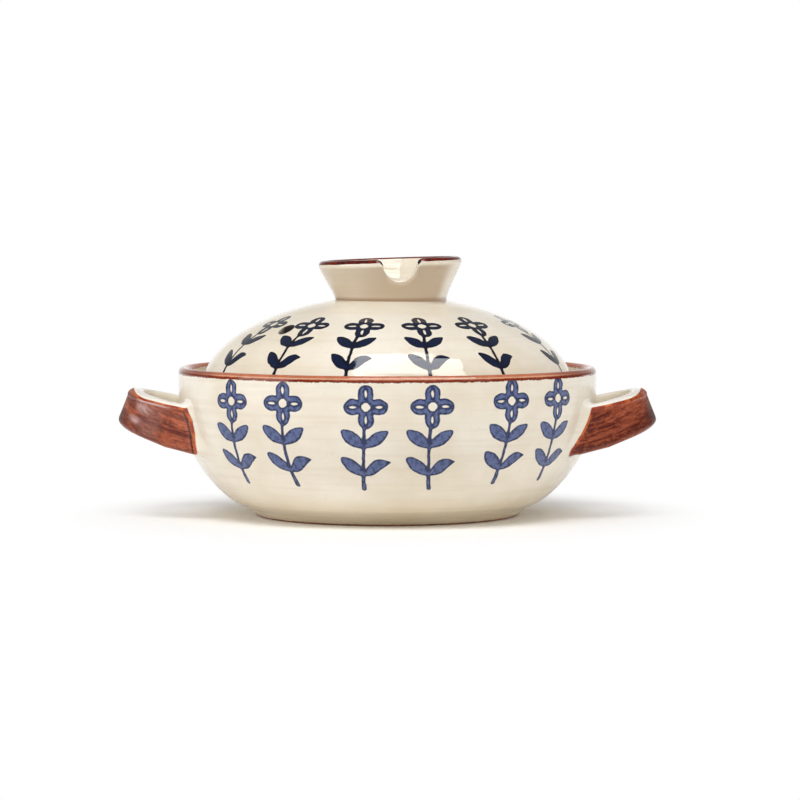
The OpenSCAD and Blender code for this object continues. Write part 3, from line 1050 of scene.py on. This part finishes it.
# In degrees: where the middle one of the five front sprigs stands and the way between them,
# and the same for the first of the nine that follow round the back. A degree's arc counts a
# little long, so that the sprigs of the lid come out slimmer.
middle_front = -9.8
next_front = 25.0
first_back = 73.0
next_back = 24.0
slim_arc = 0.0187
slip_right, slip_up = slips(dome_tone, spot)
front_place = turn - middle_front
front_sprig = dome_tone.math("ROUND", front_place / next_front).most(-2.0).least(2.0)
front_place = front_place - front_sprig * next_front
back_place = dome_tone.math("WRAP", turn, 360.0, 0.0) - first_back
back_sprig = dome_tone.math("ROUND", back_place / next_back).most(0.0).least(8.0)
back_place = back_place - back_sprig * next_back
in_front = turn.math("GREATER_THAN", turn, -77.4) * turn.math("LESS_THAN", turn, 56.7)
beside_stem = back_place + in_front * (front_place - back_place)
right = beside_stem * around * slim_arc + slip_right
slant = dome_tone.math("ARCTAN2", (z - lid_z) / lid_rise, around / lid_r)
up = slant * 50.0 + slant * slant * slant * 16.9 - 50.1 + slip_up
at_middle = (1 - abs(front_sprig)).most(0.0) * in_front
axis = up * 0.185 + up * up * 0.0026 + at_middle * (up * 0.045 + up * up * 0.0003)
distance = sprig(
    right, up, axis, first_node=18.5, second_node=32.2, foot=42.0, slit=(2.1, 0.62), full=0.92
)
distance = distance.most(4.0 - facing_out(dome_tone, x, y, z - lid_z))
colour = brush_on(dome_tone, colour, distance, right, up, lid_dark, lid_wash)
# The steam hole's wall is painted near black, darkest on its right: painted shade in the hole
pierced = dome_tone.length(x - vent_x, y - vent_y).ease(vent_r + 1.0, vent_r + 0.5)
colour = (pierced * ((x - vent_x).ease(-3.4, -0.6) * 0.35 + 0.64)).blend(colour, paint(22, 10, 4))
finish_glaze(dome_tone, colour, rough + pierced * 0.9, swell)
make_piece("glazed_dome", dome_points, dome_faces, [dome_finish], "lid", "cream_glaze", "lid_dome")


# Grip
# A flared ring, thrown apart and set on the crown a little off the middle, with a valley
# pressed in its lip for a spoon. Its lip is wiped with the iron glaze.
grip_rise = 19.2
waist_r = 28.5
lip_r = 36.9
grip_t = 5.0
grip_sunk = -8.0
grip_shift = 2.0
grip_lean = math.radians(2)
notch_turn = math.radians(9)
crown_z = lid_z + lid_rise
valley_r = 8.75
valley_y = -1.75
flare_r = 3.3
flare_y = -3.3
flare_x = math.sqrt((valley_r + flare_r) ** 2 - (valley_y - flare_y) ** 2)
valley_tilt = math.atan2(valley_y - flare_y, flare_x)
valley_edge = flare_x - flare_r * math.cos(valley_tilt)

flare_start = Vector((waist_r, outer_height(waist_r) - crown_z))
rough_run = Vector((lip_r - waist_r, grip_rise - grip_t / 2 - flare_start.y))
end_way = Vector((rough_run.x * 0.47, rough_run.y * 0.49)).normalized()
flare_end = Vector((lip_r - grip_t / 2 * (1 - end_way.y), grip_rise - grip_t / 2 * (1 + end_way.x)))
flare_run = flare_end - flare_start
flare_out = curve(
    flare_start,
    flare_start + Vector((flare_run.x * 0.14, flare_run.y * 0.29)),
    flare_start + Vector((flare_run.x * 0.53, flare_run.y * 0.51)),
    flare_end,
    steps=40,
)
flare_in = thickened(flare_out, grip_t)
past_end = (flare_out[-1] - flare_out[-2]).normalized() * 8.0
flare_out = [Vector((waist_r, grip_sunk))] + flare_out + [flare_out[-1] + past_end]
flare_in = [Vector((flare_in[0].x, grip_sunk))] + flare_in + [flare_in[-1] + past_end]


def notch_depth(across):
    """How far the lip is pressed down at a distance from the notch's middle line."""
    across = abs(across)
    if across < valley_edge:
        return valley_y - math.sqrt(valley_r ** 2 - across ** 2)
    if across < flare_x:
        return flare_y + math.sqrt(flare_r ** 2 - (flare_x - across) ** 2)
    return 0.0


# Columns of points stand square to the notch near it, and evenly round the rest of the grip
notch_step = 0.9
hair = 0.05
notch_reach = 30.0
square_to = 13.0
even_from = 25.0
mid_r = 34.0
notch_ways = []
across = 0.0
while across < notch_reach:
    notch_ways.append(across)
    steep = abs(notch_depth(across + hair) - notch_depth(across)) / hair
    across += notch_step / math.sqrt(1 + steep * steep)
lateral = [-a for a in notch_ways[:0:-1]] + notch_ways
open_turn = math.asin(lateral[-1] / mid_r)
plain_turns = [mix(open_turn, 2 * math.pi - open_turn, k / 110) for k in range(1, 110)]


def grip_column(lateral_place, plain_turn):
    """One upright line of points over the grip's wall, from its outer foot to its inner foot."""
    press = notch_depth(lateral_place) if lateral_place is not None else 0.0
    soft = grip_t / 2
    middle_z = grip_rise + press - soft
    foot_out = flare_start.y - 1.6
    tilt = math.atan(reach_at(flare_out, middle_z) - reach_at(flare_out, middle_z - 1))
    out_low = middle_z - soft * math.sin(tilt)
    in_low = middle_z + soft * math.sin(tilt)
    middle = Vector((reach_at(flare_out, out_low) - soft * math.cos(tilt), middle_z))
    line = []
    for k in range(22):
        height = mix(foot_out, out_low, k / 22)
        line.append((Vector((reach_at(flare_out, height), height)), 0.0))
    for k in range(17):
        a = math.pi * k / 16 - tilt
        line.append((middle + Vector((math.cos(a), math.sin(a))) * soft, math.sin(math.pi * k / 16)))
    for k in range(1, 23):
        height = mix(in_low, foot_out, k / 22)
        line.append((Vector((reach_at(flare_in, height), height)), 0.0))
    column = []
    for p, crest in line:
        if lateral_place is None:
            turn_here = plain_turn
        else:
            square = math.asin(max(-1, min(1, lateral_place / p.x)))
            even = math.asin(lateral_place / mid_r)
            share = (abs(lateral_place) - square_to) / (even_from - square_to)
            turn_here = mix(square, even, min(1, max(0, share)))
        turn_here += notch_turn
        column.append((p.x * math.sin(turn_here), -p.x * math.cos(turn_here), p.y, crest, press))
    return column


grip_columns = [grip_column(a, 0) for a in lateral] + [grip_column(None, a) for a in plain_turns]
grip_points = []
grip_notes = []
for column in grip_columns:
    for gx, gy, gz, crest, press in column:
        grip_points.append((
            grip_shift + gx * math.cos(grip_lean) - gz * math.sin(grip_lean),
            gy,
            crown_z + gx * math.sin(grip_lean) + gz * math.cos(grip_lean),
        ))
        grip_notes.append((gz, crest, press))
high = len(grip_columns[0])
grip_faces = []
for i in range(len(grip_columns)):
    n = (i + 1) % len(grip_columns)
    for k in range(high - 1):
        grip_faces.append([i * high + k, n * high + k, n * high + k + 1, i * high + k + 1])

# Places on the grip: up from the crown, how much on top of the lip, and how far pressed down
grip_places = ("grip_up", "grip_crest", "grip_press")
grip_finish, grip_tone = new_finish("cream_grip")
spot, x, y, z = place_on_piece(grip_tone)
turn = degrees_round(x, y)
colour, rough, swell = cream_glaze(grip_tone, spot, z)
lip_up, crest, press = [noted(grip_tone, name) for name in grip_places]
wave = (clouds(grip_tone, spot, 8.0, 3.0) - 0.5) * 0.8
thicker = x.ease(20.0, -30.0) * 0.35
lip_band = (lip_up + wave + thicker).ease(grip_rise - 1.75, grip_rise - 1.45) * crest.ease(0.25, 0.45)
maroon = clouds(grip_tone, spot, 6.0, 4.0).ease(0.35, 0.7).blend(paint(66, 8, 6), paint(122, 32, 12))
colour = lip_band.blend(colour, maroon)
pooled = press.ease(-0.15, -0.5) * press.ease(-2.3, -1.7) * crest.ease(0.55, 0.80)
colour = pooled.blend(colour, paint(22, 8, 8))
# The front of the grip's flare is painted darker, more towards its right: painted shade under the flare.
# The handles' thin glaze at their edges above shares the name
front = turn.ease(68.0, 52.0) * turn.ease(-86.0, -66.0) * facing_out(grip_tone, x, y).ease(0.0, 6.0)
thin_glaze_and_grip_shade = front * lip_up.ease(grip_rise - 3.0, grip_rise - 4.6) * crest.ease(0.97, 0.80)
colour = (thin_glaze_and_grip_shade * (x.ease(-36.0, 6.0) * 0.4 + 0.52)).blend(colour, paint(196, 177, 152))
# A darker line where the grip meets the dome: painted shade in the crease
in_angle = z.ease(crown_z + 0.2, crown_z - 1.8) * crest.ease(0.1, 0.0)
colour = (in_angle * 0.7).blend(colour, paint(150, 116, 80))
finish_glaze(grip_tone, colour, rough, swell)
grip = make_piece("flared_grip", grip_points, grip_faces, [grip_finish], "lid", "cream_glaze", "lid_grip")
note_places(grip, grip_places, grip_notes)
